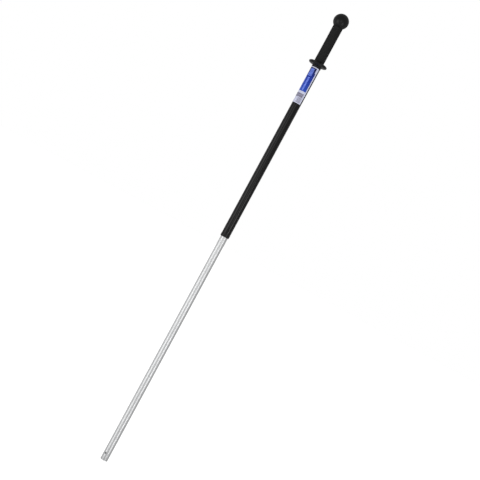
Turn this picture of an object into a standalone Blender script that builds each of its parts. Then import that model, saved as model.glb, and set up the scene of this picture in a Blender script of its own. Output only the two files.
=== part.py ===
"""A telescopic roller extension pole: a knob-ended grip with a hand guard on a black outer tube,
and an aluminium inner tube that slides out of it and locks with a twist.

The origin is in the middle of the hand grip, +Z runs along the pole towards the knob, and -Y is the
front, where the printed label is. Heights are measured along the pole from the inner tube's open end,
and GRIP_CENTRE brings them to the origin. The pole is drawn fully extended.
"""

import math

import bmesh
import bpy
from mathutils import Matrix

# Fineness of turned surfaces
SEGMENTS = 36
FINE_SEGMENTS = 20
ARC_STEPS = 4
EDGE_ARC_STEPS = 3
RIM_ARC_STEPS = 8
KNOB_ARC_STEPS = 13
DRAG_RING_SIDES = 6
WAIST_STEPS = 4
SMOOTH_ANGLE = math.radians(30.0)

# Gaps between pieces that touch, and between pieces that slide or turn
GAP = 0.0003
RUNNING_GAP = 0.0004

# Tubes
OUTER_TUBE_RADIUS = 0.0127
OUTER_TUBE_WALL = 0.0010
OUTER_TUBE_BORE = OUTER_TUBE_RADIUS - OUTER_TUBE_WALL
INNER_TUBE_RADIUS = 0.0104
INNER_TUBE_WALL = 0.0009
INNER_TUBE_BORE = INNER_TUBE_RADIUS - INNER_TUBE_WALL
EDGE_CHAMFER = 0.0003

# Heights along the pole, from the inner tube's open end
MOUTH = 0.6953
FERRULE_SHOWN = 0.0114
FERRULE_SPIGOT = 0.0500
LABEL_BOTTOM = 1.1121
LABEL_HEIGHT = 0.1105
GUARD_RIM = 1.2343
GUARD_ABOVE_RIM = 0.0074
GUARD_BELOW_RIM = 0.0113
GRIP_TOP = 1.3500
POLE_LENGTH = 1.3900
GRIP_BOTTOM = GUARD_RIM + GUARD_ABOVE_RIM + GAP
GRIP_CENTRE = (GRIP_BOTTOM + GRIP_TOP) / 2

# Locking hole for the roller frame's spring button
BUTTON_HOLE_HEIGHT = 0.0210
BUTTON_HOLE_RADIUS = 0.00275
BUTTON_HOLE_TURN = math.radians(-115.0)

# Handle
GRIP_RADIUS = 0.0144
GRIP_WAIST = 0.0002
GRIP_BORE = OUTER_TUBE_RADIUS + GAP
GRIP_ROUNDING = 0.0008
GUARD_RADIUS = 0.0270
GUARD_RIM_WIDTH = 0.0070
GUARD_RIM_HALF = 0.0046
GUARD_ROOT_WIDTH = 0.0040
GUARD_COLLAR_RADIUS = 0.0134
GUARD_COLLAR_WIDTH = 0.0046
GUARD_COLLAR_RISE = 0.0026
KNOB_RADIUS = 0.0220
KNOB_NECK_RADIUS = 0.0142
KNOB_HOLE_DEPTH = 0.0185
PLUG_SPIGOT_RADIUS = OUTER_TUBE_BORE - GAP
PLUG_SPIGOT_LENGTH = 0.0280
PLUG_FLANGE = 0.0024
PLUG_CORE_RADIUS = 0.0060
PLUG_FLOOR = 0.0070
CROSS_PIN_RADIUS = 0.0015
KNOB_PIN_DROP = 0.0190
BUFFER_THICKNESS = 0.0030
BUFFER_HOLE = 0.0065

# Label
LABEL_STANDOFF = 0.00006
LABEL_THICKNESS = 0.00012
LABEL_RIGHT_FACET = -4
LABEL_LEFT_FACET = -26

# Ferrule
FERRULE_RADIUS = 0.0129
FERRULE_BORE = INNER_TUBE_RADIUS + RUNNING_GAP
FERRULE_SPIGOT_RADIUS = OUTER_TUBE_BORE - GAP
FERRULE_NOSE = 0.0020
FERRULE_NOSE_RISE = 0.0036

# Twist lock: an eccentric journal on the inner tube's plug, inside a split ring
CAM_OFFSET = 0.0013
CAM_FLANGE_RADIUS = 0.0113
CAM_FLANGE = 0.0025
CAM_JOURNAL_RADIUS = 0.0077
CAM_JOURNAL_LENGTH = 0.0130
CAM_PLUG_LENGTH = 0.0260
CAM_PLUG_RADIUS = INNER_TUBE_BORE - GAP
CAM_PLUG_PIN_DROP = 0.0130
CAM_RING_RADIUS = 0.0112
CAM_RING_BORE = 0.0082
CAM_RING_SLOT = math.radians(16.0)
DRAG_RING_SECTION = 0.0006
DRAG_RING_REACH = 0.0114
DRAG_GROOVE_DEPTH = 0.0013
DRAG_GROOVE_WIDTH = 0.0018
WASHER_RADIUS = 0.0092
WASHER_THICKNESS = 0.0010
LOCK_SCREW_SHANK = 0.0110

# Screws
SCREW_SHANK_RADIUS = 0.0020
SCREW_HEAD_RADIUS = 0.0040
SCREW_HEAD_HEIGHT = 0.0025
SCREW_HEAD_SIDE = 0.45 * SCREW_HEAD_HEIGHT
SCREW_CROWN_RADIUS = 0.80 * SCREW_HEAD_RADIUS
SCREW_CROWN_HEIGHT = 0.88 * SCREW_HEAD_HEIGHT
SCREW_TOP_RADIUS = 0.50 * SCREW_HEAD_RADIUS
SCREW_POINT_RADIUS = 0.50 * SCREW_SHANK_RADIUS
SCREW_HOLE_RADIUS = SCREW_SHANK_RADIUS + GAP
SCREW_RECESS_LENGTH = 0.0044
SCREW_RECESS_WIDTH = 0.0010
SCREW_RECESS_DEPTH = 0.0014

# Heights that follow from those above
OUTER_TUBE_BOTTOM = MOUTH + FERRULE_SHOWN + GAP
OUTER_TUBE_TOP = GRIP_TOP - PLUG_FLANGE - GAP
FERRULE_TOP = MOUTH + FERRULE_SHOWN + FERRULE_SPIGOT
CAM_FLANGE_BOTTOM = FERRULE_TOP + RUNNING_GAP
INNER_TUBE_LENGTH = CAM_FLANGE_BOTTOM - GAP
JOURNAL_BOTTOM = CAM_FLANGE_BOTTOM + CAM_FLANGE
JOURNAL_TOP = JOURNAL_BOTTOM + CAM_JOURNAL_LENGTH
CAM_RING_BOTTOM = JOURNAL_BOTTOM + RUNNING_GAP
CAM_RING_HEIGHT = CAM_JOURNAL_LENGTH - 2 * RUNNING_GAP
WASHER_BOTTOM = JOURNAL_TOP + GAP
LOCK_SCREW_SEAT = WASHER_BOTTOM + WASHER_THICKNESS + GAP
KNOB_BOTTOM = GRIP_TOP + GAP
PLUG_FLANGE_BOTTOM = OUTER_TUBE_TOP + GAP
PLUG_FLANGE_TOP = PLUG_FLANGE_BOTTOM + PLUG_FLANGE - GAP
PLUG_SPIGOT_BOTTOM = PLUG_FLANGE_BOTTOM - PLUG_SPIGOT_LENGTH
KNOB_SCREW_SEAT = PLUG_FLANGE_TOP - PLUG_FLOOR - GAP
KNOB_SCREW_SHANK = KNOB_BOTTOM + KNOB_HOLE_DEPTH - KNOB_SCREW_SEAT - 2 * GAP
BUFFER_BOTTOM = PLUG_SPIGOT_BOTTOM - GAP - BUFFER_THICKNESS


def clear_scene():
    for thing in list(bpy.data.objects):
        bpy.data.objects.remove(thing, do_unlink=True)


def make_material(name, colour, roughness, metallic=0.0):
    material = bpy.data.materials.new(name)
    material.use_nodes = True
    shader = material.node_tree.nodes["Principled BSDF"]
    shader.inputs["Base Color"].default_value = (*colour, 1.0)
    shader.inputs["Roughness"].default_value = roughness
    shader.inputs["Metallic"].default_value = metallic
    return material


def make_group(name, parent=None):
    """An empty on the pole's axis that carries the pieces moving together."""
    group = bpy.data.objects.new(name, None)
    group.parent = parent
    bpy.context.scene.collection.objects.link(group)
    return group


def make_object(name, shape, material, group, height):
    """Link a bmesh as an object whose own zero height is at this height along the pole."""
    bmesh.ops.recalc_face_normals(shape, faces=shape.faces)
    mesh = bpy.data.meshes.new(name)
    shape.to_mesh(mesh)
    shape.free()
    mesh.shade_smooth()
    mesh.set_sharp_from_angle(angle=SMOOTH_ANGLE)
    mesh.materials.append(material)
    piece = bpy.data.objects.new(name, mesh)
    piece.parent = group
    piece.location.z = height - GRIP_CENTRE
    bpy.context.scene.collection.objects.link(piece)
    return piece


def arc(centre, radius, start, end, steps=ARC_STEPS, rise=None):
    """Points on a round stretch of an outline, angles in degrees from the +radius direction.

    With a rise, the stretch is part of an ellipse with that half height.
    """
    half_height = radius if rise is None else rise
    points = []
    for step in range(steps + 1):
        angle = math.radians(start + (end - start) * step / steps)
        across = centre[0] + radius * math.cos(angle)
        points.append((across, centre[1] + half_height * math.sin(angle)))
    return points


def circle_of_points(shape, radius, height, segments, offset):
    ring = []
    for step in range(segments):
        angle = math.tau * step / segments
        point = (offset + radius * math.cos(angle), radius * math.sin(angle), height)
        ring.append(shape.verts.new(point))
    return ring


def turned(outline, segments=SEGMENTS, offset=0.0):
    """Turn an outline of (radius, height) points round Z, or round a parallel axis at x = offset.

    An outline that starts and ends on the axis makes a solid, and any other is closed into a ring.
    """
    shape = bmesh.new()
    rings = []
    for radius, height in outline:
        if radius == 0.0:
            rings.append([shape.verts.new((offset, 0.0, height))])
        else:
            rings.append(circle_of_points(shape, radius, height, segments, offset))
    pairs = list(zip(rings, rings[1:]))
    if len(rings[0]) > 1:
        pairs.append((rings[-1], rings[0]))
    for one, other in pairs:
        for step in range(segments):
            following = step + 1
            corners = (
                one[step % len(one)],
                one[following % len(one)],
                other[following % len(other)],
                other[step % len(other)],
            )
            shape.faces.new(dict.fromkeys(corners))
    return shape


def rod(radius, start, end, segments=FINE_SEGMENTS):
    """A plain round rod along Z, from one height to the other."""
    return turned([(0.0, start), (radius, start), (radius, end), (0.0, end)], segments)


def cross_rod(radius, start, end):
    """A round rod along X, from one distance to the other."""
    shape = rod(radius, start, end)
    shape.transform(Matrix.Rotation(math.radians(90), 4, "Y"))
    return shape


def block(length, width, bottom, top):
    shape = bmesh.new()
    bmesh.ops.create_cube(shape, size=1.0)
    shape.transform(Matrix.Diagonal((length, width, top - bottom, 1.0)))
    shape.transform(Matrix.Translation((0.0, 0.0, (bottom + top) / 2)))
    return shape


def tube_outline(outer, inner, length):
    return [(inner, 0.0), (outer, 0.0), (outer, length), (inner, length)]


def combine(piece, shape, operation, name, turn=0.0, x=0.0, z=0.0):
    """Cut a shape out of a piece, or join it on, with a Boolean that follows the piece."""
    mesh = bpy.data.meshes.new(name)
    bmesh.ops.recalc_face_normals(shape, faces=shape.faces)
    shape.to_mesh(mesh)
    shape.free()
    helper = bpy.data.objects.new(name, mesh)
    helper.hide_render = True
    helper.display_type = "WIRE"
    helper.parent = piece
    helper.location = (x, 0.0, z)
    helper.rotation_euler.z = turn
    bpy.context.scene.collection.objects.link(helper)
    modifier = piece.modifiers.new(name, "BOOLEAN")
    modifier.operation = operation
    modifier.object = helper
    modifier.solver = "EXACT"


def screw(name, shank, material, group, seat, offset=0.0, points_up=False):
    """A pan-head screw with a cross recess, its head standing on the seat and its shank beyond it."""
    outline = [
        (0.0, -shank),
        (SCREW_POINT_RADIUS, -shank),
        (SCREW_SHANK_RADIUS, -shank + SCREW_SHANK_RADIUS),
        (SCREW_SHANK_RADIUS, 0.0),
        (SCREW_HEAD_RADIUS, 0.0),
        (SCREW_HEAD_RADIUS, SCREW_HEAD_SIDE),
        (SCREW_CROWN_RADIUS, SCREW_CROWN_HEIGHT),
        (SCREW_TOP_RADIUS, SCREW_HEAD_HEIGHT),
        (0.0, SCREW_HEAD_HEIGHT),
    ]
    piece = make_object(name, turned(outline, FINE_SEGMENTS), material, group, seat)
    piece.location.x = offset
    floor = SCREW_HEAD_HEIGHT - SCREW_RECESS_DEPTH
    for number, turn in enumerate((0.0, math.radians(90))):
        bar = block(SCREW_RECESS_LENGTH, SCREW_RECESS_WIDTH, floor, 2 * SCREW_HEAD_HEIGHT)
        combine(piece, bar, "DIFFERENCE", f"{name}_recess_{number + 1}", turn=turn)
    if points_up:
        piece.rotation_euler.x = math.radians(180)
    return piece


def make_outer_tube(material, group):
    length = OUTER_TUBE_TOP - OUTER_TUBE_BOTTOM
    outline = tube_outline(OUTER_TUBE_RADIUS, OUTER_TUBE_BORE, length)
    tube = make_object("outer_tube", turned(outline), material, group, OUTER_TUBE_BOTTOM)
    hole = cross_rod(CROSS_PIN_RADIUS + GAP, -GUARD_RADIUS, GUARD_RADIUS)
    pin_height = GRIP_TOP - KNOB_PIN_DROP - OUTER_TUBE_BOTTOM
    combine(tube, hole, "DIFFERENCE", "outer_tube_pin_hole", z=pin_height)


def make_grip_sleeve(material, group):
    length = GRIP_TOP - GRIP_BOTTOM
    edge = GRIP_RADIUS - GRIP_ROUNDING
    low = arc((edge, GRIP_ROUNDING), GRIP_ROUNDING, -90, 0, EDGE_ARC_STEPS)
    high = arc((edge, length - GRIP_ROUNDING), GRIP_ROUNDING, 0, 90, EDGE_ARC_STEPS)
    waist = []
    for step in range(1, WAIST_STEPS):
        share = step / WAIST_STEPS
        dip = GRIP_WAIST * math.sin(math.pi * share)
        waist.append((GRIP_RADIUS - dip, length * share))
    outline = [(GRIP_BORE, 0.0)] + low + waist + high + [(GRIP_BORE, length)]
    make_object("grip_sleeve", turned(outline), material, group, GRIP_BOTTOM)


def make_hand_guard(material, group):
    """A thick disc with an oval rim, that runs up into the grip and down into a collar."""
    rim_centre = (GUARD_RADIUS - GUARD_RIM_WIDTH, 0.0)
    root_centre = (GRIP_RADIUS + GUARD_ROOT_WIDTH, GUARD_ABOVE_RIM)
    root_rise = GUARD_ABOVE_RIM - GUARD_RIM_HALF
    collar_centre = (
        GUARD_COLLAR_RADIUS + GUARD_COLLAR_WIDTH,
        -GUARD_RIM_HALF - GUARD_COLLAR_RISE,
    )
    outline = [
        (GRIP_BORE, -GUARD_BELOW_RIM),
        (GUARD_COLLAR_RADIUS - EDGE_CHAMFER, -GUARD_BELOW_RIM),
        (GUARD_COLLAR_RADIUS, -GUARD_BELOW_RIM + EDGE_CHAMFER),
    ]
    outline += arc(collar_centre, GUARD_COLLAR_WIDTH, 180, 90, rise=GUARD_COLLAR_RISE)
    outline += arc(rim_centre, GUARD_RIM_WIDTH, -90, 90, RIM_ARC_STEPS, GUARD_RIM_HALF)
    outline += arc(root_centre, GUARD_ROOT_WIDTH, 270, 180, rise=root_rise)
    outline += [(GRIP_BORE, GUARD_ABOVE_RIM)]
    make_object("hand_guard", turned(outline), material, group, GUARD_RIM)


def make_knob(material, group):
    """A ball on a short neck, with a blind hole up its middle for the knob screw."""
    centre = POLE_LENGTH - KNOB_RADIUS - KNOB_BOTTOM
    neck_angle = -math.degrees(math.acos(KNOB_NECK_RADIUS / KNOB_RADIUS))
    outline = [
        (0.0, KNOB_HOLE_DEPTH),
        (SCREW_HOLE_RADIUS, KNOB_HOLE_DEPTH),
        (SCREW_HOLE_RADIUS, 0.0),
        (KNOB_NECK_RADIUS - EDGE_CHAMFER, 0.0),
        (KNOB_NECK_RADIUS, EDGE_CHAMFER),
    ]
    outline += arc((0.0, centre), KNOB_RADIUS, neck_angle, 90, KNOB_ARC_STEPS)[:-1]
    outline += [(0.0, centre + KNOB_RADIUS)]
    make_object("knob", turned(outline), material, group, KNOB_BOTTOM)


def make_knob_plug(material, group):
    """The flanged spigot in the outer tube's top end, cored from below to seat the knob screw."""
    top = PLUG_FLANGE_TOP - PLUG_SPIGOT_BOTTOM
    flange = PLUG_FLANGE_BOTTOM - PLUG_SPIGOT_BOTTOM
    outline = [
        (PLUG_CORE_RADIUS, 0.0),
        (PLUG_SPIGOT_RADIUS, 0.0),
        (PLUG_SPIGOT_RADIUS, flange),
        (OUTER_TUBE_RADIUS, flange),
        (OUTER_TUBE_RADIUS, top),
        (SCREW_HOLE_RADIUS, top),
        (SCREW_HOLE_RADIUS, top - PLUG_FLOOR),
        (PLUG_CORE_RADIUS, top - PLUG_FLOOR),
    ]
    plug = make_object("knob_plug", turned(outline), material, group, PLUG_SPIGOT_BOTTOM)
    hole = cross_rod(CROSS_PIN_RADIUS + GAP, -GUARD_RADIUS, GUARD_RADIUS)
    pin_height = GRIP_TOP - KNOB_PIN_DROP - PLUG_SPIGOT_BOTTOM
    combine(plug, hole, "DIFFERENCE", "knob_plug_pin_hole", z=pin_height)


def make_cross_pin(name, half_length, height, material, group):
    pin = cross_rod(CROSS_PIN_RADIUS, -half_length, half_length)
    make_object(name, pin, material, group, height)


def make_end_buffer(material, group):
    outline = tube_outline(PLUG_SPIGOT_RADIUS, BUFFER_HOLE, BUFFER_THICKNESS)
    make_object("end_buffer", turned(outline), material, group, BUFFER_BOTTOM)


def make_label(material, group):
    """A thin printed wrap, laid on the tube's own facets and open down the right-hand side."""
    inner = OUTER_TUBE_RADIUS + LABEL_STANDOFF
    outer = inner + LABEL_THICKNESS
    section = [(inner, 0.0), (outer, 0.0), (outer, LABEL_HEIGHT), (inner, LABEL_HEIGHT)]
    shape = bmesh.new()
    strips = []
    for facet in range(LABEL_LEFT_FACET, LABEL_RIGHT_FACET + 1):
        angle = math.tau * facet / SEGMENTS
        strip = []
        for radius, height in section:
            point = (radius * math.cos(angle), radius * math.sin(angle), height)
            strip.append(shape.verts.new(point))
        strips.append(strip)
    for one, other in zip(strips, strips[1:]):
        for corner in range(4):
            following = (corner + 1) % 4
            shape.faces.new((one[corner], one[following], other[following], other[corner]))
    shape.faces.new(strips[0])
    shape.faces.new(strips[-1])
    make_object("label", shape, material, group, LABEL_BOTTOM)


def make_end_ferrule(material, group):
    """The round-nosed bush at the outer tube's mouth; its long spigot guides the inner tube."""
    top = FERRULE_SHOWN + FERRULE_SPIGOT
    outline = [(FERRULE_BORE, 0.0)]
    nose_centre = (FERRULE_RADIUS - FERRULE_NOSE, FERRULE_NOSE_RISE)
    outline += arc(nose_centre, FERRULE_NOSE, -90, 0, rise=FERRULE_NOSE_RISE)
    outline += [
        (FERRULE_RADIUS, FERRULE_SHOWN),
        (FERRULE_SPIGOT_RADIUS, FERRULE_SHOWN),
        (FERRULE_SPIGOT_RADIUS, top),
        (FERRULE_BORE, top),
    ]
    make_object("end_ferrule", turned(outline), material, group, MOUTH)


def make_inner_tube(material, group):
    outline = tube_outline(INNER_TUBE_RADIUS, INNER_TUBE_BORE, INNER_TUBE_LENGTH)
    tube = make_object("inner_tube", turned(outline), material, group, 0.0)
    button_hole = cross_rod(BUTTON_HOLE_RADIUS, INNER_TUBE_BORE / 2, 2 * INNER_TUBE_RADIUS)
    combine(tube, button_hole, "DIFFERENCE", "button_hole", BUTTON_HOLE_TURN, z=BUTTON_HOLE_HEIGHT)
    pin_hole = cross_rod(CROSS_PIN_RADIUS + GAP, -GUARD_RADIUS, GUARD_RADIUS)
    pin_height = INNER_TUBE_LENGTH - CAM_PLUG_PIN_DROP
    combine(tube, pin_hole, "DIFFERENCE", "inner_tube_pin_hole", z=pin_height)


def make_cam_plug(material, group):
    """The plug in the inner tube's top end: spigot, stop flange and an off-centre journal above it."""
    bottom = INNER_TUBE_LENGTH - CAM_PLUG_LENGTH
    flange = CAM_FLANGE_BOTTOM - bottom
    outline = [
        (0.0, 0.0),
        (CAM_PLUG_RADIUS, 0.0),
        (CAM_PLUG_RADIUS, flange),
        (CAM_FLANGE_RADIUS, flange),
        (CAM_FLANGE_RADIUS, flange + CAM_FLANGE),
        (0.0, flange + CAM_FLANGE),
    ]
    plug = make_object("cam_plug", turned(outline), material, group, bottom)
    journal = rod(CAM_JOURNAL_RADIUS, flange + CAM_FLANGE / 2, JOURNAL_TOP - bottom, SEGMENTS)
    combine(plug, journal, "UNION", "cam_journal", x=CAM_OFFSET)
    hole_bottom = LOCK_SCREW_SEAT - LOCK_SCREW_SHANK - GAP - bottom
    screw_hole = rod(SCREW_HOLE_RADIUS, hole_bottom, JOURNAL_TOP + GAP - bottom)
    combine(plug, screw_hole, "DIFFERENCE", "cam_screw_hole", x=CAM_OFFSET)
    pin_hole = cross_rod(CROSS_PIN_RADIUS + GAP, -GUARD_RADIUS, GUARD_RADIUS)
    pin_height = CAM_PLUG_LENGTH - CAM_PLUG_PIN_DROP
    combine(plug, pin_hole, "DIFFERENCE", "cam_plug_pin_hole", z=pin_height)


def make_cam_ring(material, group):
    """A ring whose bore is off centre, split through its thin wall, with a groove for the drag ring."""
    middle = CAM_RING_HEIGHT / 2
    half_groove = DRAG_GROOVE_WIDTH / 2
    floor = CAM_RING_RADIUS - DRAG_GROOVE_DEPTH
    outside = [
        (CAM_RING_RADIUS, 0.0),
        (CAM_RING_RADIUS, middle - half_groove),
        (floor, middle - half_groove),
        (floor, middle + half_groove),
        (CAM_RING_RADIUS, middle + half_groove),
        (CAM_RING_RADIUS, CAM_RING_HEIGHT),
    ]
    shape = bmesh.new()
    strips = []
    for step in range(SEGMENTS + 1):
        angle = CAM_RING_SLOT / 2 + (math.tau - CAM_RING_SLOT) * step / SEGMENTS
        across = math.cos(angle)
        along = math.sin(angle)
        strip = []
        for radius, height in outside:
            strip.append(shape.verts.new((radius * across, radius * along, height)))
        for height in (CAM_RING_HEIGHT, 0.0):
            point = (CAM_OFFSET + CAM_RING_BORE * across, CAM_RING_BORE * along, height)
            strip.append(shape.verts.new(point))
        strips.append(strip)
    for one, other in zip(strips, strips[1:]):
        for corner in range(len(one)):
            following = (corner + 1) % len(one)
            shape.faces.new((one[corner], one[following], other[following], other[corner]))
    shape.faces.new(strips[0])
    shape.faces.new(strips[-1])
    make_object("cam_ring", shape, material, group, CAM_RING_BOTTOM)


def make_drag_ring(material, group):
    """A rubber ring in the cam ring's groove; it drags on the outer tube so that the ring holds still."""
    centre = (DRAG_RING_REACH - DRAG_RING_SECTION, CAM_RING_HEIGHT / 2)
    outline = arc(centre, DRAG_RING_SECTION, 0, 360, DRAG_RING_SIDES)[:-1]
    make_object("drag_ring", turned(outline), material, group, CAM_RING_BOTTOM)


def make_cam_washer(material, group):
    outline = tube_outline(WASHER_RADIUS, SCREW_HOLE_RADIUS, WASHER_THICKNESS)
    washer = make_object("cam_washer", turned(outline), material, group, WASHER_BOTTOM)
    washer.location.x = CAM_OFFSET


def main():
    clear_scene()
    black_paint = make_material("black_paint", (0.014, 0.014, 0.015), 0.32)
    grip_rubber = make_material("grip_rubber", (0.022, 0.022, 0.023), 0.75)
    black_plastic = make_material("black_plastic", (0.020, 0.020, 0.021), 0.45)
    printed_label = make_material("printed_label", (0.10, 0.16, 0.55), 0.40)
    aluminium = make_material("aluminium", (0.76, 0.77, 0.78), 0.30, 1.0)
    white_nylon = make_material("white_nylon", (0.75, 0.74, 0.70), 0.50)
    red_nylon = make_material("red_nylon", (0.50, 0.04, 0.03), 0.50)
    black_rubber = make_material("black_rubber", (0.02, 0.02, 0.02), 0.85)
    zinc_steel = make_material("zinc_steel", (0.55, 0.55, 0.53), 0.35, 1.0)

    handle = make_group("handle_group")
    lock = make_group("lock_group", handle)
    inner_pole = make_group("inner_pole_group", lock)

    make_outer_tube(black_paint, handle)
    make_grip_sleeve(grip_rubber, handle)
    make_hand_guard(black_plastic, handle)
    make_knob(black_plastic, handle)
    make_knob_plug(white_nylon, handle)
    screw("knob_screw", KNOB_SCREW_SHANK, zinc_steel, handle, KNOB_SCREW_SEAT, points_up=True)
    pin_height = GRIP_TOP - KNOB_PIN_DROP
    make_cross_pin("knob_pin", OUTER_TUBE_RADIUS - EDGE_CHAMFER, pin_height, zinc_steel, handle)
    make_end_buffer(black_rubber, handle)
    make_label(printed_label, handle)
    make_end_ferrule(black_plastic, handle)

    make_cam_ring(red_nylon, lock)
    make_drag_ring(black_rubber, lock)

    make_inner_tube(aluminium, inner_pole)
    make_cam_plug(white_nylon, inner_pole)
    plug_pin_height = INNER_TUBE_LENGTH - CAM_PLUG_PIN_DROP
    plug_pin_half = INNER_TUBE_RADIUS - EDGE_CHAMFER
    make_cross_pin("plug_pin", plug_pin_half, plug_pin_height, zinc_steel, inner_pole)
    make_cam_washer(zinc_steel, inner_pole)
    screw("cam_screw", LOCK_SCREW_SHANK, zinc_steel, inner_pole, LOCK_SCREW_SEAT, CAM_OFFSET)


main()
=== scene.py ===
"""A telescopic roller extension pole: the looks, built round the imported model.

Every piece is rebuilt finely from the place and size of the CAD node that it stands for, with its own
procedural material. Lengths are in metres, and MM keeps the small ones readable.
"""

import math

import bmesh
import bpy
from mathutils import Matrix, Vector


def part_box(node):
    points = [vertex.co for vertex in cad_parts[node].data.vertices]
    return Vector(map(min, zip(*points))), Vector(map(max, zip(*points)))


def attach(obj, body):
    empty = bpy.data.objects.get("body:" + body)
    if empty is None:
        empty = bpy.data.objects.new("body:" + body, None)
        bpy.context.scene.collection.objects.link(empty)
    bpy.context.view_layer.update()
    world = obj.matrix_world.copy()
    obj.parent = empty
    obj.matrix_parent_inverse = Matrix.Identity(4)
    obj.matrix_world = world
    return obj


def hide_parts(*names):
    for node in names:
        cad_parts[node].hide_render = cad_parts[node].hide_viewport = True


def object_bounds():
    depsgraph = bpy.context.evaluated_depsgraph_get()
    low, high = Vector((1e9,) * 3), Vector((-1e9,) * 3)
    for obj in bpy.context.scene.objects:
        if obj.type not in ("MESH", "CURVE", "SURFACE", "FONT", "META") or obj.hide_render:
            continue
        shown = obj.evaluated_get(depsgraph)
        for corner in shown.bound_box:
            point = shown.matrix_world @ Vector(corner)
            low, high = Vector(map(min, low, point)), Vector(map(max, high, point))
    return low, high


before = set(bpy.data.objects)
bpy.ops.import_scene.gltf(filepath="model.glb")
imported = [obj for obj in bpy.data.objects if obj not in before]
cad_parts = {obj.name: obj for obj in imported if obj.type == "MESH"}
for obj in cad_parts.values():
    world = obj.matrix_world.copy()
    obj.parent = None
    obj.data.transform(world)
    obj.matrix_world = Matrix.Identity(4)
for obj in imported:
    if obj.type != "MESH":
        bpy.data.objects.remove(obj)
cad_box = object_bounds()

MM = 0.001
ROUND = 128
SMALL_ROUND = 64
EDGE_STEPS = 4
ON_AXIS = 1e-9
WELD = 1e-6
LONGEST_STRETCH = 40 * MM
NEARLY_HALF = 0.499
SHARP_EDGE = 35.0
KNURL_SHARP_EDGE = 60.0

# Camera: the pole leans in the picture, and is seen square on from the front
LEAN = math.radians(28.45)
CAMERA_DISTANCE = 3.531
CAMERA_LENS = 96.45
SENSOR_WIDTH = 36.0
AIM_RIGHT = 0.04315
AIM_UP = -0.0076

# Moulded surfaces: how fine their grain is
COARSE_GRAIN = 900.0
FINE_GRAIN = 1400.0

# Studio
FLOOR_RADIUS = 60.0
FLOOR_GLOW = 0.86
AMBIENT_LEVEL = 0.35
LAMP_DISTANCE = 1.7
FRONT_LAMP_DISTANCE = 2.6

# Gaps, walls and small edges
GAP = 0.3 * MM
FINE_EDGE = 0.25 * MM
PIN_EDGE = 0.3 * MM
WASHER_EDGE = 0.2 * MM
BUFFER_EDGE = 0.7 * MM
OUTER_TUBE_WALL = 1.0 * MM
INNER_TUBE_WALL = 0.9 * MM
PIN_HOLE = 1.8 * MM

# Locking hole near the open end, turned from the right round to the front left
BUTTON_HOLE_HEIGHT = 21.0 * MM
BUTTON_HOLE_RADIUS = 2.75 * MM
BUTTON_HOLE_TURN = math.radians(-115.0)
BUTTON_HOLE_CHAMFER = 0.35 * MM

# Grip: crossing helical grooves leave raised diamonds
DIAMONDS_AROUND = 32
DIAMOND_SAMPLES = 8
DIAMOND_STRETCH = 1.25
GROOVE_DEPTH = 0.42 * MM
GROOVE_HALF_WIDTH = 0.20
GRIP_PLAIN_END = 2.0 * MM
GRIP_FADE = 0.6 * MM
GRIP_EDGE = 0.9 * MM
GRIP_WAIST = 0.2 * MM

# Hand guard, measured from its rim plane
GUARD_RIM_HEIGHT = 11.3 * MM
GUARD_RIM_WIDTH = 7.0 * MM
GUARD_RIM_HALF = 4.6 * MM
GUARD_ROOT_WIDTH = 4.0 * MM
GUARD_COLLAR_RADIUS = 13.4 * MM
GUARD_COLLAR_WIDTH = 4.6 * MM
GUARD_COLLAR_RISE = 2.6 * MM

# Knob
KNOB_RADIUS = 22.0 * MM
KNOB_NECK_RADIUS = 14.2 * MM
KNOB_NECK_EDGE = 0.3 * MM
KNOB_HOLE_DEPTH = 18.5 * MM
MOULD_LINE_HEIGHT = 0.08 * MM
MOULD_LINE_WIDTH = 0.25 * MM

# Ferrule and knob plug
FERRULE_NOSE = 2.0 * MM
FERRULE_NOSE_RISE = 3.6 * MM
FERRULE_CLEARANCE = 0.4 * MM
FERRULE_MOUTH_EDGE = 0.1 * MM
SPIGOT_RADIUS = 11.4 * MM
PLUG_CORE_RADIUS = 6.0 * MM
PLUG_FLOOR = 7.0 * MM
BUFFER_HOLE = 6.5 * MM

# Screws
SCREW_HOLE = 2.3 * MM
SCREW_HEAD = 2.5 * MM
SCREW_HEAD_RADIUS = 4.0 * MM
SCREW_HEAD_EDGE = 0.2 * MM
SCREW_HEAD_RIM = 0.9 * MM
SCREW_SHANK_RADIUS = 2.0 * MM
SCREW_POINT = 2.0 * MM
SCREW_POINT_SHARE = 0.25
THREAD_PITCH = 1.25 * MM
THREAD_DEPTH = 0.38 * MM
THREAD_ROWS = 10
RECESS_LENGTH = 4.4 * MM
RECESS_WIDTH = 1.0 * MM
RECESS_DEPTH = 1.4 * MM
RECESS_TAPER = 0.6

# Twist lock
CAM_OFFSET = 1.3 * MM
CAM_JOURNAL_RADIUS = 7.7 * MM
CAM_FLANGE = 2.5 * MM
CAM_RING_BORE = 8.2 * MM
CAM_RING_SLOT = math.radians(16.0)
DRAG_SECTION = 0.6 * MM
DRAG_GROOVE_DEPTH = 1.3 * MM
DRAG_GROOVE_WIDTH = 1.8 * MM

# Label: how far it reaches round the tube from the front, and its film
LABEL_RIGHT = math.radians(49.0)
LABEL_LEFT = math.radians(-165.0)
LABEL_STANDOFF = 0.04 * MM
LABEL_FILM = 0.12 * MM
LABEL_COLUMNS = 96
LABEL_ROWS = 24

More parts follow.
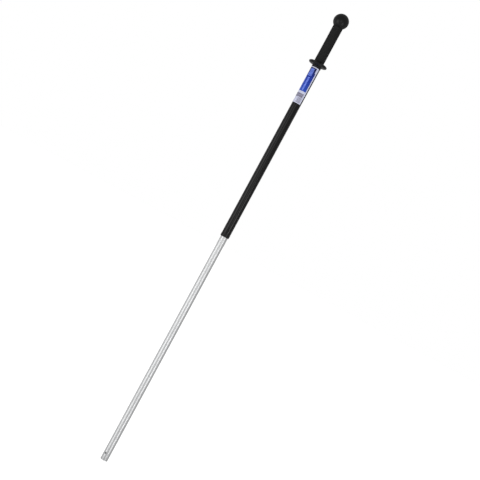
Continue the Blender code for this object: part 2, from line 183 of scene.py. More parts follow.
# Label print, in millimetres right of the front and down from the top. The places are left, right, top
# and bottom, and the blue deepens and then lightens between two heights
BLUE_HEAD = (-33.0, 4.8, 2.5, 17.5)
BLUE_PANEL = (-33.0, 7.3, 16.5, 74.0)
BROAD_BARS = (-13.0, -0.8, 5.0, 27.5)
NARROW_BARS = (-7.4, -2.2, 31.0, 71.5)
REAR_BARS = (-31.0, -12.0, 31.0, 71.5)
DENSE_BARS = (-31.0, 6.2, 80.5, 92.5)
SPARSE_BARS = (-6.0, 6.2, 93.5, 108.5)
BLUE_DEEPENS = (8.0, 34.0)
BLUE_LIGHTENS = (40.0, 76.0)
BAR_SLANT = 0.45
BROAD_PITCH = 4.2
REAR_PITCH = 3.0
SMALL_PITCH = 2.4
PRINT_BLUR = 0.15
BAR_BLUR = 0.05


# ---------------------------------------------------------------- shapes


def arc(centre, radius, start, end, steps, rise=None):
    """Points on a round stretch of an outline, or on an oval one with this half height."""
    half_height = radius if rise is None else rise
    points = []
    for step in range(steps + 1):
        angle = math.radians(start + (end - start) * step / steps)
        across = centre[0] + radius * math.cos(angle)
        points.append((across, centre[1] + half_height * math.sin(angle)))
    return points


def rounded(corners, steps=EDGE_STEPS):
    """An outline of (radius, height, rounding) corners, with its corners rounded off."""
    points = []
    count = len(corners)
    for index, (radius, height, rounding) in enumerate(corners):
        corner = Vector((radius, height))
        if rounding <= 0.0:
            points.append(tuple(corner))
            continue
        before = Vector(corners[index - 1][:2]) - corner
        after = Vector(corners[(index + 1) % count][:2]) - corner
        half = before.angle(after) / 2
        longest = NEARLY_HALF * min(before.length, after.length)
        reach = min(rounding / math.tan(half), longest)
        out = (before.normalized() + after.normalized()).normalized()
        middle = corner + out * reach / math.cos(half)
        start = corner + before.normalized() * reach - middle
        end = corner + after.normalized() * reach - middle
        turn = math.copysign(math.pi - 2 * half, start.x * end.y - start.y * end.x)
        for step in range(steps + 1):
            spoke = Matrix.Rotation(turn * step / steps, 2) @ start
            points.append(tuple(middle + spoke))
    return points


def stretched(outline, longest):
    """The outline with extra points on its long straight stretches."""
    points = []
    for here, there in zip(outline, outline[1:] + outline[:1]):
        points.append(here)
        parts = int(math.dist(here, there) / longest)
        for part in range(1, parts + 1):
            share = part / (parts + 1)
            points.append(tuple(Vector(here).lerp(Vector(there), share)))
    return points


def turned(outline, segments=ROUND, surface=None):
    """Turn an outline of (radius, height) points round Z.

    An outline that starts and ends on the axis makes a solid, and any other is closed into a ring.
    surface(radius, height, turns) may give each point its own radius.
    """
    shape = bmesh.new()
    rings = []
    for radius, height in outline:
        if radius < ON_AXIS:
            rings.append([shape.verts.new((0.0, 0.0, height))])
            continue
        ring = []
        for step in range(segments):
            here = surface(radius, height, step / segments) if surface else radius
            angle = math.tau * step / segments
            ring.append(shape.verts.new((here * math.cos(angle), here * math.sin(angle), height)))
        rings.append(ring)
    pairs = list(zip(rings, rings[1:]))
    if len(rings[0]) > 1:
        pairs.append((rings[-1], rings[0]))
    for one, other in pairs:
        for step in range(segments):
            following = step + 1
            corners = (
                one[step % len(one)],
                one[following % len(one)],
                other[following % len(other)],
                other[step % len(other)],
            )
            shape.faces.new(dict.fromkeys(corners))
    return shape


def ring_shape(outer, inner, bottom, top, edge, segments=ROUND):
    """A plain ring or tube with rounded edges."""
    corners = [(inner, bottom, edge), (outer, bottom, edge), (outer, top, edge), (inner, top, edge)]
    return turned(stretched(rounded(corners, 3), LONGEST_STRETCH), segments)


def rod_shape(radius, bottom, top, edge=0.0, segments=SMALL_ROUND):
    """A solid rod with rounded edges."""
    corners = [(0.0, bottom, 0.0), (radius, bottom, edge), (radius, top, edge), (0.0, top, 0.0)]
    return turned(rounded(corners, 3), segments)


def laid_along_x(shape, height=0.0, turn=0.0):
    """Lay a shape that stands on Z along X, then turn it round the pole and lift it."""
    shape.transform(Matrix.Rotation(math.radians(90), 4, "Y"))
    shape.transform(Matrix.Rotation(turn, 4, "Z"))
    shape.transform(Matrix.Translation((0.0, 0.0, height)))
    return shape


def moved(shape, x=0.0, z=0.0):
    shape.transform(Matrix.Translation((x, 0.0, z)))
    return shape


def middle_height(node):
    low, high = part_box(node)
    return (low.z + high.z) / 2


def with_pin_hole(shape, half_width, pin):
    """The shape with a hole right through it for a cross pin."""
    hole = rod_shape(PIN_HOLE, -2 * half_width, 2 * half_width)
    return combined(shape, laid_along_x(hole, middle_height(pin)))


def mesh_from(name, shape):
    bmesh.ops.recalc_face_normals(shape, faces=shape.faces)
    if shape.calc_volume(signed=True) < 0.0:
        bmesh.ops.reverse_faces(shape, faces=shape.faces)
    mesh = bpy.data.meshes.new(name)
    shape.to_mesh(mesh)
    shape.free()
    return mesh


def link(name, mesh):
    piece = bpy.data.objects.new(name, mesh)
    bpy.context.scene.collection.objects.link(piece)
    return piece


def combined(shape, other, operation="DIFFERENCE"):
    """One shape cut from or joined to another, as a new bmesh."""
    first = link("first_shape", mesh_from("first_shape", shape))
    second = link("second_shape", mesh_from("second_shape", other))
    modifier = first.modifiers.new("combine", "BOOLEAN")
    modifier.operation = operation
    modifier.object = second
    modifier.solver = "EXACT"
    graph = bpy.context.evaluated_depsgraph_get()
    result = bmesh.new()
    result.from_object(first, graph)
    bmesh.ops.remove_doubles(result, verts=result.verts, dist=WELD)
    bmesh.ops.dissolve_degenerate(result, edges=result.edges, dist=WELD)
    for helper in (first, second):
        mesh = helper.data
        bpy.data.objects.remove(helper)
        bpy.data.meshes.remove(mesh)
    return result


def piece_from(name, shape, material, body, slot, node, sharp=SHARP_EDGE):
    """Make a shape a piece that rides on a body, takes a material and stands for a CAD node. The slot is
    not used.
    """
    mesh = mesh_from(name, shape)
    mesh.shade_smooth()
    mesh.set_sharp_from_angle(angle=math.radians(sharp))
    mesh.materials.append(material)
    piece = link(name, mesh)
    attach(piece, body)
    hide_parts(node)
    return piece


# ---------------------------------------------------------------- material helpers


def new_material(name, colour, roughness, metallic=0.0, specular=0.5):
    material = bpy.data.materials.new(name)
    material.use_nodes = True
    shader = material.node_tree.nodes["Principled BSDF"]
    shader.inputs["Base Color"].default_value = (*colour, 1.0)
    shader.inputs["Roughness"].default_value = roughness
    shader.inputs["Metallic"].default_value = metallic
    shader.inputs["Specular IOR Level"].default_value = specular
    return material, material.node_tree, shader


def add(tree, kind, **settings):
    node = tree.nodes.new(kind)
    for key, value in settings.items():
        setattr(node, key, value)
    return node


def object_space(tree, scale=(1.0, 1.0, 1.0)):
    """Object coordinates, stretched by a scale along each axis."""
    source = add(tree, "ShaderNodeTexCoord")
    mapping = add(tree, "ShaderNodeMapping")
    mapping.inputs["Scale"].default_value = scale
    tree.links.new(source.outputs["Object"], mapping.inputs["Vector"])
    return mapping.outputs["Vector"]


def noise(tree, vector, scale, detail=4.0):
    node = add(tree, "ShaderNodeTexNoise")
    node.inputs["Scale"].default_value = scale
    node.inputs["Detail"].default_value = detail
    tree.links.new(vector, node.inputs["Vector"])
    return node.outputs["Fac"]


def ranged(tree, value, low, high, from_low=0.3, from_high=0.7):
    node = add(tree, "ShaderNodeMapRange")
    node.inputs["From Min"].default_value = from_low
    node.inputs["From Max"].default_value = from_high
    node.inputs["To Min"].default_value = low
    node.inputs["To Max"].default_value = high
    tree.links.new(value, node.inputs["Value"])
    return node.outputs["Result"]


def math_node(tree, operation, first, second=None):
    """A Math node on sockets or numbers."""
    node = add(tree, "ShaderNodeMath", operation=operation)
    for socket, value in zip(node.inputs, (first, second)):
        if isinstance(value, (int, float)):
            socket.default_value = value
        elif value is not None:
            tree.links.new(value, socket)
    return node.outputs["Value"]


def mixed(tree, factor, first, second):
    """Mix two colours, each a colour or a socket."""
    node = add(tree, "ShaderNodeMix", data_type="RGBA")
    first_socket, second_socket = [socket for socket in node.inputs if socket.type == "RGBA"]
    for socket, value in ((first_socket, first), (second_socket, second)):
        if isinstance(value, tuple):
            socket.default_value = (*value, 1.0)
        else:
            tree.links.new(value, socket)
    tree.links.new(factor, node.inputs[0])
    return next(socket for socket in node.outputs if socket.type == "RGBA")


def bumped(tree, shader, height, strength, distance):
    node = add(tree, "ShaderNodeBump")
    node.inputs["Strength"].default_value = strength
    node.inputs["Distance"].default_value = distance
    tree.links.new(height, node.inputs["Height"])
    tree.links.new(node.outputs["Normal"], shader.inputs["Normal"])


def varied(tree, shader, pattern, darker, lighter, spread=0.2):
    """Colour that wanders between two tones with a pattern, over this spread to each side of its middle."""
    colour = mixed(tree, ranged(tree, pattern, 0.0, 1.0, 0.5 - spread, 0.5 + spread), darker, lighter)
    tree.links.new(colour, shader.inputs["Base Color"])


# ---------------------------------------------------------------- materials


def moulded(name, darker, lighter, roughness, grain, grain_height, specular=0.5):
    """Moulded plastic or rubber: a faint mottle, uneven gloss and a fine surface grain."""
    material, tree, shader = new_material(name, darker, roughness, specular=specular)
    space = object_space(tree)
    varied(tree, shader, noise(tree, space, scale=60.0), darker, lighter)
    gloss = ranged(tree, noise(tree, space, scale=140.0), roughness - 0.05, roughness + 0.06)
    tree.links.new(gloss, shader.inputs["Roughness"])
    bumped(tree, shader, noise(tree, space, scale=grain, detail=2.0), strength=0.25, distance=grain_height)
    return material


def powder_coat():
    """Satin black coat with faint orange peel."""
    dark = (0.0012, 0.0012, 0.0013)
    material, tree, shader = new_material("black_powder_coat", dark, 0.20, specular=0.43)
    space = object_space(tree)
    varied(tree, shader, noise(tree, space, scale=30.0), dark, (0.0022, 0.0022, 0.0024))
    tree.links.new(ranged(tree, noise(tree, space, scale=90.0), 0.18, 0.23), shader.inputs["Roughness"])
    bumped(tree, shader, noise(tree, space, scale=420.0, detail=2.0), strength=0.12, distance=0.15 * MM)
    return material


def drawn_aluminium():
    """Satin tube with fine lines along its length, and a few longer rubs from sliding."""
    dull = (0.88, 0.89, 0.90)
    bright = (0.97, 0.975, 0.98)
    material, tree, shader = new_material("drawn_aluminium", dull, 0.42, metallic=1.0)
    lines = noise(tree, object_space(tree, (1800.0, 1800.0, 9.0)), scale=1.0)
    rubs = noise(tree, object_space(tree, (500.0, 500.0, 12.0)), scale=1.0, detail=3.0)
    varied(tree, shader, lines, dull, bright, spread=0.12)
    gloss = ranged(tree, rubs, 0.38, 0.46, from_low=0.4, from_high=0.6)
    tree.links.new(gloss, shader.inputs["Roughness"])
    bumped(tree, shader, lines, strength=0.15, distance=0.03 * MM)
    return material


def plated_steel():
    """Zinc plate with its cloudy grey-yellow tint."""
    grey = (0.50, 0.50, 0.47)
    material, tree, shader = new_material("zinc_plated_steel", grey, 0.35, metallic=1.0)
    space = object_space(tree)
    varied(tree, shader, noise(tree, space, scale=350.0), grey, (0.64, 0.62, 0.56))
    tree.links.new(ranged(tree, noise(tree, space, scale=700.0), 0.28, 0.42), shader.inputs["Roughness"])
    bumped(tree, shader, noise(tree, space, scale=2500.0, detail=2.0), strength=0.10, distance=0.02 * MM)
    return material


def band(tree, value, low, high, blur=PRINT_BLUR):
    """1 where the value is between low and high, fading over the blur at both ends."""
    rise = ranged(tree, value, 0.0, 1.0, low - blur, low + blur)
    fall = ranged(tree, value, 1.0, 0.0, high - blur, high + blur)
    return math_node(tree, "MULTIPLY", rise, fall)


def panel(tree, across, down, edges):
    """1 inside a rectangle of left, right, top and bottom edges."""
    left, right, top, bottom = edges
    sides = band(tree, across, left, right)
    return math_node(tree, "MULTIPLY", sides, band(tree, down, top, bottom))


def bars(tree, value, pitch, share):
    """1 on a share of each pitch, as a row of bars."""
    part = math_node(tree, "FRACT", math_node(tree, "DIVIDE", value, pitch))
    return band(tree, part, (1 - share) / 2, (1 + share) / 2, BAR_BLUR)


def printed_label():
    """A generic print: a blue panel with slanted pale bars, over a pale field with small grey bars."""
    white = (0.60, 0.62, 0.77)
    navy = (0.008, 0.010, 0.080)
    mid_blue = (0.004, 0.030, 0.34)
    light_blue = (0.016, 0.070, 0.46)
    pale = (0.19, 0.29, 0.92)
    grey = (0.13, 0.115, 0.18)
    material, tree, shader = new_material("printed_label", white, 0.5, specular=0.3)
    source = add(tree, "ShaderNodeUVMap", uv_map="label_place")
    split = add(tree, "ShaderNodeSeparateXYZ")
    tree.links.new(source.outputs["UV"], split.inputs["Vector"])
    across = math_node(tree, "DIVIDE", split.outputs["X"], MM)
    down = math_node(tree, "DIVIDE", split.outputs["Y"], MM)
    slant = math_node(tree, "ADD", down, math_node(tree, "MULTIPLY", across, BAR_SLANT))

    deepen = ranged(tree, down, 0.0, 1.0, *BLUE_DEEPENS)
    lighten = ranged(tree, down, 0.0, 1.0, *BLUE_LIGHTENS)
    blue = mixed(tree, lighten, mixed(tree, deepen, navy, mid_blue), light_blue)
    head = panel(tree, across, down, BLUE_HEAD)
    field = math_node(tree, "MAXIMUM", head, panel(tree, across, down, BLUE_PANEL))
    colour = mixed(tree, field, white, blue)
    for edges, value, pitch, share, ink in (
        (BROAD_BARS, slant, BROAD_PITCH, 0.62, pale),
        (NARROW_BARS, slant, BROAD_PITCH, 0.66, pale),
        (REAR_BARS, slant, REAR_PITCH, 0.35, pale),
        (DENSE_BARS, across, SMALL_PITCH, 0.75, grey),
        (SPARSE_BARS, across, SMALL_PITCH, 0.5, grey),
    ):
        place = panel(tree, across, down, edges)
        cover = math_node(tree, "MULTIPLY", place, bars(tree, value, pitch, share))
        colour = mixed(tree, cover, colour, ink)
    tree.links.new(colour, shader.inputs["Base Color"])
    gloss = ranged(tree, noise(tree, object_space(tree), scale=120.0), 0.45, 0.56)
    tree.links.new(gloss, shader.inputs["Roughness"])
    return material


# ---------------------------------------------------------------- handle pieces


def mould_line(radius, height, turns):
    """A fine raised line down both sides, where the two halves of the mould met."""
    off_line = abs(math.sin(math.tau * turns)) * radius / MOULD_LINE_WIDTH
    return radius - MOULD_LINE_HEIGHT * min(1.0, off_line)


def make_outer_tube(material):
    low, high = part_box("outer_tube")
    shape = ring_shape(high.x, high.x - OUTER_TUBE_WALL, low.z, high.z, FINE_EDGE)
    shape = with_pin_hole(shape, high.x, "knob_pin")
    piece_from("outer_tube_shell", shape, material, "handle", "black_paint", "outer_tube")


def make_grip(material):
    """A rubber sleeve, slightly waisted, with a plain band and a rounded edge at each end."""
    low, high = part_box("grip_sleeve")
    radius = high.x
    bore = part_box("outer_tube")[1].x + GAP
    rise = DIAMOND_STRETCH * math.tau * radius / DIAMONDS_AROUND
    rows = int((high.z - low.z - 2 * GRIP_EDGE) / rise * DIAMOND_SAMPLES)

    def groove(turns):
        """1 in the middle of a groove, 0 on a diamond."""
        share = max(0.0, 1.0 - abs(turns - round(turns)) / GROOVE_HALF_WIDTH)
        return share * share * (3 - 2 * share)

    def knurled(here, height, turns):
        near_end = min(height - low.z, high.z - height)
        fade = min(1.0, max(0.0, (near_end - GRIP_PLAIN_END) / GRIP_FADE))
        around = DIAMONDS_AROUND * turns
        along = (height - low.z) / rise
        return here - fade * GROOVE_DEPTH * max(groove(around + along), groove(around - along))

    outline = [(bore, low.z)]
    outline += arc((radius - GRIP_EDGE, low.z + GRIP_EDGE), GRIP_EDGE, -90, 0, EDGE_STEPS)[:-1]
    for row in range(rows + 1):
        height = low.z + GRIP_EDGE + (high.z - low.z - 2 * GRIP_EDGE) * row / rows
        waist = GRIP_WAIST * math.sin(math.pi * (height - low.z) / (high.z - low.z))
        outline.append((radius - waist, height))
    outline += arc((radius - GRIP_EDGE, high.z - GRIP_EDGE), GRIP_EDGE, 0, 90, EDGE_STEPS)[1:]
    outline += [(bore, high.z)]
    shape = turned(outline, DIAMONDS_AROUND * DIAMOND_SAMPLES, knurled)
    names = ("handle", "grip_rubber", "grip_sleeve")
    piece_from("grip_sleeve_knurled", shape, material, *names, sharp=KNURL_SHARP_EDGE)


def make_guard(material):
    """A thick disc with an oval rim, that runs up into the grip and down into a collar."""
    low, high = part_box("hand_guard")
    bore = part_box("outer_tube")[1].x + GAP
    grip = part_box("grip_sleeve")[1].x
    rim = low.z + GUARD_RIM_HEIGHT
    collar_edge = (GUARD_COLLAR_RADIUS - FINE_EDGE, low.z + FINE_EDGE)
    collar_centre = (GUARD_COLLAR_RADIUS + GUARD_COLLAR_WIDTH, rim - GUARD_RIM_HALF - GUARD_COLLAR_RISE)
    outline = [(bore, low.z)]
    outline += arc(collar_edge, FINE_EDGE, -90, 0, EDGE_STEPS)
    outline += arc(collar_centre, GUARD_COLLAR_WIDTH, 180, 90, 12, GUARD_COLLAR_RISE)
    outline += arc((high.x - GUARD_RIM_WIDTH, rim), GUARD_RIM_WIDTH, -90, 90, 32, GUARD_RIM_HALF)[1:]
    root_rise = high.z - rim - GUARD_RIM_HALF
    outline += arc((grip + GUARD_ROOT_WIDTH, high.z), GUARD_ROOT_WIDTH, 270, 180, 12, root_rise)
    outline += [(bore, high.z)]
    piece_from("hand_guard_disc", turned(outline), material, "handle", "black_plastic", "hand_guard")


def make_knob(material):
    """A ball on a short neck, with a blind hole up its middle for the knob screw."""
    low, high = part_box("knob")
    centre = high.z - KNOB_RADIUS
    neck_angle = -math.degrees(math.acos(KNOB_NECK_RADIUS / KNOB_RADIUS))
    hole_top = low.z + KNOB_HOLE_DEPTH
    outline = [(0.0, hole_top), (SCREW_HOLE, hole_top), (SCREW_HOLE, low.z)]
    outline += [(KNOB_NECK_RADIUS - KNOB_NECK_EDGE, low.z), (KNOB_NECK_RADIUS, low.z + KNOB_NECK_EDGE)]
    outline += arc((0.0, centre), KNOB_RADIUS, neck_angle, 90, 56)[:-1]
    outline += [(0.0, high.z)]
    shape = turned(outline, 2 * ROUND, mould_line)
    piece_from("knob_ball", shape, material, "handle", "black_plastic", "knob")


def make_knob_plug(material):
    """The flanged spigot in the outer tube's top end, cored from below to seat the knob screw."""
    low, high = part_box("knob_plug")
    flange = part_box("outer_tube")[1].z + GAP
    floor = high.z - PLUG_FLOOR
    corners = [
        (PLUG_CORE_RADIUS, low.z, 0.4 * MM),
        (SPIGOT_RADIUS, low.z, 0.8 * MM),
        (SPIGOT_RADIUS, flange, 0.0),
        (high.x, flange, 0.2 * MM),
        (high.x, high.z, 0.3 * MM),
        (SCREW_HOLE, high.z, 0.2 * MM),
        (SCREW_HOLE, floor, 0.0),
        (PLUG_CORE_RADIUS, floor, 0.5 * MM),
    ]
    shape = with_pin_hole(turned(rounded(corners)), high.x, "knob_pin")
    piece_from("knob_plug_spigot", shape, material, "handle", "white_nylon", "knob_plug")


def make_cross_pin(name, node, body, material):
    low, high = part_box(node)
    pin = rod_shape(high.y, low.x, high.x, PIN_EDGE)
    shape = laid_along_x(pin, middle_height(node))
    piece_from(name, shape, material, body, "zinc_steel", node)


def make_buffer(material):
    low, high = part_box("end_buffer")
    shape = ring_shape(high.x, BUFFER_HOLE, low.z, high.z, BUFFER_EDGE)
    piece_from("end_buffer_ring", shape, material, "handle", "black_rubber", "end_buffer")


def make_ferrule(material):
    """The round-nosed bush at the outer tube's mouth, with a long spigot inside the tube."""
    low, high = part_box("end_ferrule")
    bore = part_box("inner_tube")[1].x + FERRULE_CLEARANCE
    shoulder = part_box("outer_tube")[0].z - GAP
    nose_centre = (high.x - FERRULE_NOSE, low.z + FERRULE_NOSE_RISE)
    outline = [(bore, low.z + FERRULE_MOUTH_EDGE), (bore + FERRULE_MOUTH_EDGE / 2, low.z)]
    outline += arc(nose_centre, FERRULE_NOSE, -90, 0, 16, FERRULE_NOSE_RISE)
    outline += rounded([(high.x, shoulder, 0.0), (SPIGOT_RADIUS, shoulder, 0.0)])
    outline += [(SPIGOT_RADIUS, high.z - GAP), (SPIGOT_RADIUS - GAP, high.z), (bore, high.z)]
    shape = turned(stretched(outline, LONGEST_STRETCH / 2))
    piece_from("end_ferrule_bush", shape, material, "handle", "black_plastic", "end_ferrule")


def make_label(material):
    """A printed film wrapped round the tube, with its places across and down kept as UVs."""
    low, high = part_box("label")
    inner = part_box("outer_tube")[1].x + LABEL_STANDOFF
    outer = inner + LABEL_FILM
    shape = bmesh.new()
    places = shape.loops.layers.uv.new("label_place")
    grid = {}
    for column in range(LABEL_COLUMNS + 1):
        turn = LABEL_LEFT + (LABEL_RIGHT - LABEL_LEFT) * column / LABEL_COLUMNS
        for row in range(LABEL_ROWS + 1):
            drop = (high.z - low.z) * row / LABEL_ROWS
            for side, radius in enumerate((inner, outer)):
                place = (radius * math.sin(turn), -radius * math.cos(turn), high.z - drop)
                grid[side, column, row] = (shape.verts.new(place), (outer * turn, drop))

    def add_face(*corners):
        face = shape.faces.new([grid[corner][0] for corner in corners])
        for loop, corner in zip(face.loops, corners):
            loop[places].uv = grid[corner][1]

    for column in range(LABEL_COLUMNS):
        for row in range(LABEL_ROWS):
            right, below = column + 1, row + 1
            for side in (0, 1):
                places_round = ((column, row), (right, row), (right, below), (column, below))
                add_face(*[(side, *place) for place in places_round])
    for row in range(LABEL_ROWS):
        for column in (0, LABEL_COLUMNS):
            add_face((0, column, row), (1, column, row), (1, column, row + 1), (0, column, row + 1))
    for column in range(LABEL_COLUMNS):
        for row in (0, LABEL_ROWS):
            add_face((0, column, row), (1, column, row), (1, column + 1, row), (0, column + 1, row))
    piece_from("label_film", shape, material, "handle", "printed_label", "label")


# ---------------------------------------------------------------- inner pole and twist lock pieces


def cross_shape():
    """The driver's cross, with tapered arms, that cuts the recess in a screw's head."""
    shape = bmesh.new()
    rings = []
    for height, scale in ((SCREW_HEAD - RECESS_DEPTH, RECESS_TAPER), (SCREW_HEAD + RECESS_DEPTH, 1.0)):
        reach = RECESS_LENGTH / 2 * scale
        half = RECESS_WIDTH / 2
        ring = []
        for quarter in range(4):
            turn = Matrix.Rotation(math.radians(90 * quarter), 2)
            for corner in ((half, half), (half, reach), (-half, reach)):
                ring.append(shape.verts.new((*(turn @ Vector(corner)), height)))
        rings.append(ring)
    for step in range(len(rings[0])):
        following = (step + 1) % len(rings[0])
        shape.faces.new((rings[0][step], rings[0][following], rings[1][following], rings[1][step]))
    for ring in rings:
        shape.faces.new(ring)
    return shape


def make_screw(name, node, body, material, offset, points_up):
    """A pan-head screw with a cross recess and a threaded shank, its head standing on z = 0."""
    low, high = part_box(node)
    shank = high.z - low.z - SCREW_HEAD
    rows = int(shank / THREAD_PITCH * THREAD_ROWS)

    def threaded(radius, height, turns):
        if height >= -THREAD_DEPTH or radius > SCREW_SHANK_RADIUS:
            return radius
        part = (height / THREAD_PITCH - turns) % 1.0
        fade = min(1.0, (-height - THREAD_DEPTH) / THREAD_PITCH)
        return radius - min(radius / 2, fade * THREAD_DEPTH * abs(2 * part - 1))

    outline = [(0.0, -shank)]
    for row in range(rows + 1):
        height = -shank * (1 - row / rows)
        taper = min(1.0, SCREW_POINT_SHARE + (1 - SCREW_POINT_SHARE) * (height + shank) / SCREW_POINT)
        outline.append((SCREW_SHANK_RADIUS * taper, height))
    outline += [(SCREW_HEAD_RADIUS - SCREW_HEAD_EDGE, 0.0), (SCREW_HEAD_RADIUS, SCREW_HEAD_EDGE)]
    dome_centre = (SCREW_HEAD_RADIUS / 2, SCREW_HEAD_RIM)
    outline += arc(dome_centre, SCREW_HEAD_RADIUS / 2, 0, 90, 10, SCREW_HEAD - SCREW_HEAD_RIM)
    outline += [(0.0, SCREW_HEAD)]
    shape = combined(turned(outline, SMALL_ROUND, threaded), cross_shape())
    if points_up:
        shape.transform(Matrix.Rotation(math.radians(180), 4, "X"))
        shape = moved(shape, z=low.z + SCREW_HEAD)
    else:
        shape = moved(shape, offset, high.z - SCREW_HEAD)
    piece_from(name, shape, material, body, "zinc_steel", node)


def make_inner_tube(material):
    low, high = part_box("inner_tube")
    shape = ring_shape(high.x, high.x - INNER_TUBE_WALL, low.z, high.z, FINE_EDGE)
    widen = high.x - BUTTON_HOLE_CHAMFER
    punch = [
        (0.0, high.x / 2),
        (BUTTON_HOLE_RADIUS, high.x / 2),
        (BUTTON_HOLE_RADIUS, widen),
        (BUTTON_HOLE_RADIUS + 2 * BUTTON_HOLE_CHAMFER, widen + 2 * BUTTON_HOLE_CHAMFER),
        (0.0, widen + 2 * BUTTON_HOLE_CHAMFER),
    ]
    height = low.z + BUTTON_HOLE_HEIGHT
    shape = combined(shape, laid_along_x(turned(punch, SMALL_ROUND), height, BUTTON_HOLE_TURN))
    shape = with_pin_hole(shape, high.x, "plug_pin")
    piece_from("inner_tube_shell", shape, material, "inner_pole", "aluminium", "inner_tube")


def make_cam_plug(material):
    """The plug in the inner tube's top end, with its stop flange and off-centre journal."""
    low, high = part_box("cam_plug")
    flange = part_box("inner_tube")[1].z + GAP
    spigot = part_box("inner_tube")[1].x - INNER_TUBE_WALL - GAP
    corners = [
        (0.0, low.z, 0.0),
        (spigot, low.z, 0.8 * MM),
        (spigot, flange, 0.0),
        (high.x, flange, 0.3 * MM),
        (high.x, flange + CAM_FLANGE, 0.3 * MM),
        (0.0, flange + CAM_FLANGE, 0.0),
    ]
    journal = rod_shape(CAM_JOURNAL_RADIUS, flange + CAM_FLANGE / 2, high.z, PIN_EDGE, ROUND)
    shape = combined(turned(rounded(corners)), moved(journal, CAM_OFFSET), "UNION")
    screw_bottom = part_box("cam_screw")[0].z - GAP
    shape = combined(shape, moved(rod_shape(SCREW_HOLE, screw_bottom, high.z + GAP), CAM_OFFSET))
    shape = with_pin_hole(shape, high.x, "plug_pin")
    piece_from("cam_plug_journal", shape, material, "inner_pole", "white_nylon", "cam_plug")


def make_cam_ring(material):
    """A ring whose bore is off centre, split through its thin wall, with a groove for the drag ring."""
    low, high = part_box("cam_ring")
    radius = high.y
    middle = middle_height("cam_ring")
    half_groove = DRAG_GROOVE_WIDTH / 2
    floor = radius - DRAG_GROOVE_DEPTH
    outside = [
        (radius - FINE_EDGE, low.z),
        (radius, low.z + FINE_EDGE),
        (radius, middle - half_groove),
        (floor, middle - half_groove),
        (floor, middle + half_groove),
        (radius, middle + half_groove),
        (radius, high.z - FINE_EDGE),
        (radius - FINE_EDGE, high.z),
    ]
    inside = [
        (CAM_RING_BORE + FINE_EDGE, high.z),
        (CAM_RING_BORE, high.z - FINE_EDGE),
        (CAM_RING_BORE, low.z + FINE_EDGE),
        (CAM_RING_BORE + FINE_EDGE, low.z),
    ]
    shape = bmesh.new()
    strips = []
    for step in range(ROUND + 1):
        angle = CAM_RING_SLOT / 2 + (math.tau - CAM_RING_SLOT) * step / ROUND
        strip = []
        for centre, points in ((0.0, outside), (CAM_OFFSET, inside)):
            for reach, height in points:
                place = (centre + reach * math.cos(angle), reach * math.sin(angle), height)
                strip.append(shape.verts.new(place))
        strips.append(strip)
    for one, other in zip(strips, strips[1:]):
        for corner in range(len(one)):
            following = (corner + 1) % len(one)
            shape.faces.new((one[corner], one[following], other[following], other[corner]))
    shape.faces.new(strips[0])
    shape.faces.new(strips[-1])
    piece_from("cam_ring_split", shape, material, "lock_ring", "red_nylon", "cam_ring")


def make_drag_ring(material):
    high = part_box("drag_ring")[1]
    centre = (high.x - DRAG_SECTION, middle_height("drag_ring"))
    shape = turned(arc(centre, DRAG_SECTION, 0, 360, 20)[:-1])
    piece_from("drag_ring_seal", shape, material, "lock_ring", "black_rubber", "drag_ring")


def make_washer(material):
    low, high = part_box("cam_washer")
    washer = ring_shape((high.x - low.x) / 2, SCREW_HOLE, low.z, high.z, WASHER_EDGE)
    shape = moved(washer, CAM_OFFSET)
    piece_from("cam_washer_disc", shape, material, "inner_pole", "zinc_steel", "cam_washer")


# ---------------------------------------------------------------- studio


def make_floor(height):
    """A plain pale floor, bright enough to meet the white background with no edge."""
    plain = (0.80, 0.80, 0.80)
    material, tree, shader = new_material("studio_floor", plain, 0.9)
    shader.inputs["Emission Color"].default_value = (1.0, 1.0, 1.0, 1.0)
    shader.inputs["Emission Strength"].default_value = FLOOR_GLOW
    material.cycles.emission_sampling = "NONE"
    varied(tree, shader, noise(tree, object_space(tree), scale=3.0), plain, (0.83, 0.83, 0.83))
    shape = bmesh.new()
    bmesh.ops.create_circle(shape, cap_ends=True, segments=96, radius=FLOOR_RADIUS)
    mesh = mesh_from("studio_floor", shape)
    mesh.materials.append(material)
    floor = link("studio_floor", mesh)
    floor.location.z = height
    floor.visible_glossy = False
    floor.visible_shadow = False


def make_world():
    """White where the camera sees it, and a softer grey room as light."""
    world = bpy.data.worlds.new("studio_world")
    world.use_nodes = True
    tree = world.node_tree
    ambient = tree.nodes["Background"]
    ambient.inputs["Color"].default_value = (1.0, 1.0, 1.0, 1.0)
    ambient.inputs["Strength"].default_value = AMBIENT_LEVEL
    backdrop = add(tree, "ShaderNodeBackground")
    backdrop.inputs["Color"].default_value = (1.0, 1.0, 1.0, 1.0)
    rays = add(tree, "ShaderNodeLightPath")
    chosen = add(tree, "ShaderNodeMixShader")
    tree.links.new(rays.outputs["Is Camera Ray"], chosen.inputs["Fac"])
    tree.links.new(ambient.outputs["Background"], chosen.inputs[1])
    tree.links.new(backdrop.outputs["Background"], chosen.inputs[2])
    tree.links.new(chosen.outputs["Shader"], tree.nodes["World Output"].inputs["Surface"])
    bpy.context.scene.world = world


def softbox(name, distance, bearing, height, width, tall, radiance):
    """A rectangular light facing the pole. Its bearing is in degrees to the right of the front."""
    angle = math.radians(bearing - 90)
    place = Vector((distance * math.cos(angle), distance * math.sin(angle), height))
    data = bpy.data.lights.new(name, "AREA")
    data.shape = "RECTANGLE"
    data.size = width
    data.size_y = tall
    data.energy = radiance * math.pi * width * tall
    lamp = link(name, data)
    lamp.location = place
    inwards = Vector((-place.x, -place.y, 0.0))
    lamp.rotation_euler = inwards.to_track_quat("-Z", "Y").to_euler()


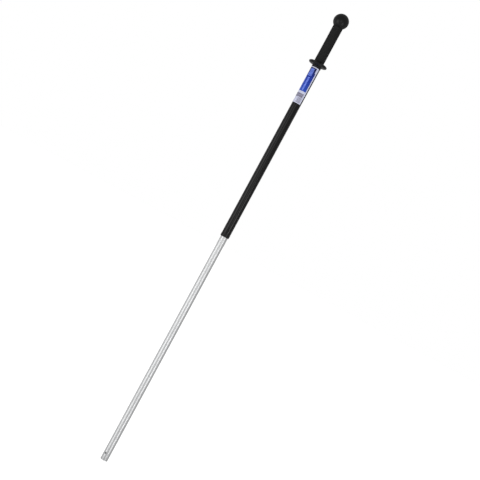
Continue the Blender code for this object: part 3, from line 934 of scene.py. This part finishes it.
def make_lights():
    make_world()
    softbox("softbox_left", LAMP_DISTANCE, bearing=-50, height=-0.92, width=1.05, tall=1.85, radiance=1.05)
    softbox("panel_left", LAMP_DISTANCE, bearing=-105, height=-0.80, width=1.2, tall=1.6, radiance=0.22)
    softbox("softbox_right", LAMP_DISTANCE, bearing=39, height=-1.12, width=0.29, tall=1.45, radiance=3.4)
    softbox("panel_front", FRONT_LAMP_DISTANCE, bearing=0, height=-0.20, width=1.2, tall=1.5, radiance=0.62)


def make_camera(middle):
    data = bpy.data.cameras.new("camera")
    data.lens = CAMERA_LENS
    data.sensor_width = SENSOR_WIDTH
    data.clip_start = 0.1
    data.clip_end = 100.0
    camera = link("camera", data)
    right = Vector((math.cos(LEAN), 0.0, math.sin(LEAN)))
    up = Vector((-math.sin(LEAN), 0.0, math.cos(LEAN)))
    back = Vector((0.0, -1.0, 0.0))
    aim = Vector((0.0, 0.0, middle)) + right * AIM_RIGHT + up * AIM_UP
    turn = Matrix((right, up, back)).transposed().to_4x4()
    camera.matrix_world = Matrix.Translation(aim + back * CAMERA_DISTANCE) @ turn
    bpy.context.scene.camera = camera


def main():
    bpy.context.scene.view_settings.view_transform = "Standard"
    low, high = cad_box
    make_camera((low.z + high.z) / 2)
    make_floor(low.z)
    make_lights()

    coat = powder_coat()
    black = (0.0030, 0.0030, 0.0032)
    grey_black = (0.0050, 0.0050, 0.0052)
    plastic = moulded("black_moulding", black, grey_black, 0.32, COARSE_GRAIN, 0.12 * MM, specular=0.36)
    rubber = moulded("grip_rubber", black, grey_black, 0.52, FINE_GRAIN, 0.12 * MM, specular=0.40)
    seal_tones = (0.015, 0.015, 0.015), (0.024, 0.024, 0.024)
    soft_rubber = moulded("seal_rubber", *seal_tones, 0.80, FINE_GRAIN, 0.08 * MM)
    white_tones = (0.70, 0.69, 0.65), (0.78, 0.77, 0.73)
    nylon = moulded("white_nylon", *white_tones, 0.50, COARSE_GRAIN, 0.05 * MM)
    red_tones = (0.46, 0.035, 0.025), (0.56, 0.05, 0.035)
    red_nylon = moulded("red_nylon", *red_tones, 0.50, COARSE_GRAIN, 0.05 * MM)
    aluminium = drawn_aluminium()
    steel = plated_steel()

    make_outer_tube(coat)
    make_grip(rubber)
    make_guard(plastic)
    make_knob(plastic)
    make_knob_plug(nylon)
    make_screw("knob_screw_threaded", "knob_screw", "handle", steel, 0.0, True)
    make_cross_pin("knob_pin_rod", "knob_pin", "handle", steel)
    make_buffer(soft_rubber)
    make_ferrule(plastic)
    make_label(printed_label())

    make_inner_tube(aluminium)
    make_cam_plug(nylon)
    make_cross_pin("plug_pin_rod", "plug_pin", "inner_pole", steel)
    make_washer(steel)
    make_screw("cam_screw_threaded", "cam_screw", "inner_pole", steel, CAM_OFFSET, False)
    make_cam_ring(red_nylon)
    make_drag_ring(soft_rubber)


main()
